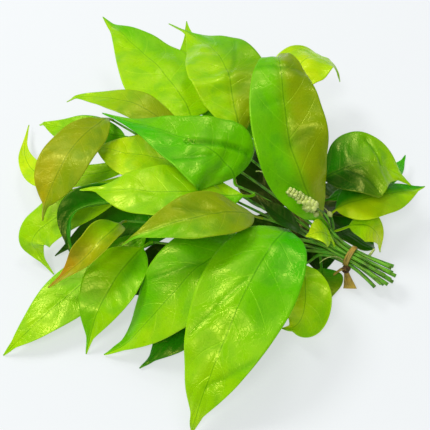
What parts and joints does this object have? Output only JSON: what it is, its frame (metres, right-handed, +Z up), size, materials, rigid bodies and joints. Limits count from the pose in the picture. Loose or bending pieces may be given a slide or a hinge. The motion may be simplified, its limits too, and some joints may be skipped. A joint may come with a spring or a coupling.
{
  "type": "tied bunch of melinjo leaves",
  "caption": "Bunch of fresh melinjo shoots with broad pointed leaves, tied near the cut ends with a flat strip and lying on its side.",
  "frame": {"origin": "under the middle of the bunch's bounding box, at the level it rests on", "axes": "+Z up; the cut stems point to +X and a little to -Y, and the leaves fan out from the tie towards -X, +Y and -Y"},
  "size_m": [0.2856, 0.3326, 0.0945],
  "materials": {
    "leaf_lime": "young fresh leaf, yellow-green, satin to glossy",
    "leaf_green": "fresh leaf, mid green, glossy",
    "leaf_deep": "fresh leaf in deep green, glossy",
    "leaf_bronze": "youngest leaf, olive to bronze, satin",
    "stem": "fresh green stem, satin",
    "strip": "dry split bamboo, matt"
  },
  "bodies": {
    "root": {"stem_01": "stem", "leaf_01_long_left": "leaf_lime", "leaf_01_broad_top": "leaf_green", "leaf_01_small_middle": "leaf_lime", "stem_02": "stem", "leaf_02_long_front": "leaf_green", "leaf_02_short_middle": "leaf_deep", "leaf_02_olive_left": "leaf_bronze", "stem_03": "stem", "leaf_03_broad_low_left": "leaf_lime", "leaf_03_narrow_low_left": "leaf_green", "leaf_03_under_low_left": "leaf_deep", "stem_04": "stem", "leaf_04_far_low_left": "leaf_lime", "leaf_04_young_curled": "leaf_bronze", "leaf_04_folded_left": "leaf_deep", "stem_05": "stem", "leaf_05_olive_far_left": "leaf_bronze", "leaf_05_tip_far_left": "leaf_lime", "leaf_05_small_far_left": "leaf_lime", "leaf_05_lobe_left": "leaf_lime", "stem_06": "stem", "leaf_06_arched_back": "leaf_bronze", "leaf_06_under_top": "leaf_lime", "stem_07": "stem", "leaf_07_back_left": "leaf_lime", "leaf_07_back_middle": "leaf_lime", "stem_08": "stem", "leaf_08_drooping_middle": "leaf_green", "leaf_08_back_narrow": "leaf_lime", "stem_09": "stem", "leaf_09_hooked_back": "leaf_lime", "leaf_09_inner_back": "leaf_deep", "leaf_09_low_back": "leaf_deep", "stem_10": "stem", "leaf_10_broad_right": "leaf_lime", "leaf_10_spiked_right": "leaf_green", "stem_11": "stem", "leaf_11_level_right": "leaf_deep", "leaf_11_stub_right": "leaf_lime", "leaf_11_inner_right": "leaf_deep", "stem_12": "stem", "leaf_12_curled_front": "leaf_lime", "leaf_12_under_tie": "leaf_bronze", "stem_13": "stem", "leaf_13_under_middle": "leaf_deep", "leaf_13_under_front": "leaf_deep", "leaf_13_inner_front": "leaf_deep", "leaf_13_dark_left": "leaf_deep", "stem_14": "stem", "leaf_14_under_back": "leaf_deep", "leaf_14_inner_middle": "leaf_deep", "leaf_14_under_right": "leaf_deep", "tie_strip": "strip"}
  },
  "joints": []
}
